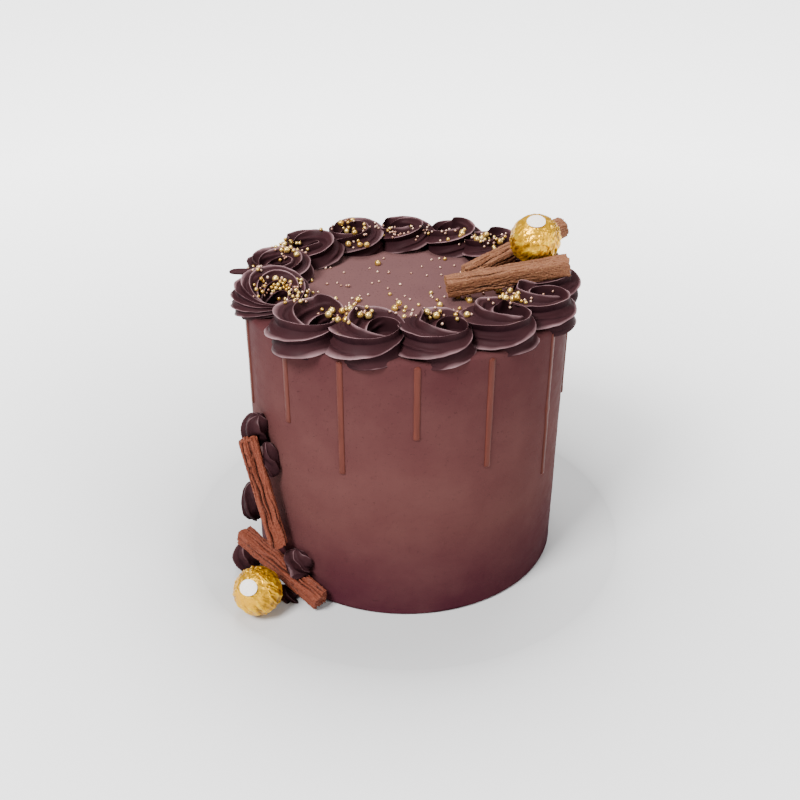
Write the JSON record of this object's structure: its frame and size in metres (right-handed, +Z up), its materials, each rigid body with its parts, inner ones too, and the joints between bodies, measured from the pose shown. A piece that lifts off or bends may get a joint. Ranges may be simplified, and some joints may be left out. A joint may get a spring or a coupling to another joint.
{
  "type": "chocolate celebration cake",
  "caption": "Tall round chocolate buttercream cake with a piped rosette ring, thin drips, gold sugar pearls, folded chocolate logs and foil pralines.",
  "frame": {"origin": "centre of the cake's flat base", "axes": "+Z up along the cake's axis, -Y towards the front, with the side decoration at the front left"},
  "size_m": [0.1945, 0.1927, 0.1968],
  "materials": {
    "frosted_cake": "smooth satin milk chocolate buttercream",
    "dark_frosting": "satin dark chocolate buttercream, piped",
    "folded_chocolate": "dull, crumbly folded milk chocolate",
    "gold_foil": "crumpled bright gold foil",
    "sugar_pearl": "pearly gold sugar pearls",
    "drip_chocolate": "set milk chocolate drips",
    "white_sticker": "plain satin white paper"
  },
  "bodies": {
    "root": {"cake_body": "frosted_cake", "rosette_01": "dark_frosting", "rosette_02": "dark_frosting", "rosette_03": "dark_frosting", "rosette_04": "dark_frosting", "rosette_05": "dark_frosting", "rosette_06": "dark_frosting", "rosette_07": "dark_frosting", "rosette_08": "dark_frosting", "rosette_09": "dark_frosting", "rosette_10": "dark_frosting", "rosette_11": "dark_frosting", "rosette_12": "dark_frosting", "rosette_13": "dark_frosting", "rosette_14": "dark_frosting", "top_log_front": "folded_chocolate", "top_log_back": "folded_chocolate", "side_log_upright": "folded_chocolate", "side_log_lower": "folded_chocolate", "top_praline": "gold_foil", "side_praline": "gold_foil", "top_praline_sticker": "white_sticker", "side_praline_sticker": "white_sticker", "side_frosting_top": "dark_frosting", "side_frosting_strip": "dark_frosting", "side_frosting_middle": "dark_frosting", "side_frosting_left": "dark_frosting", "side_frosting_right": "dark_frosting", "side_frosting_foot": "dark_frosting"}
  },
  "joints": []
}
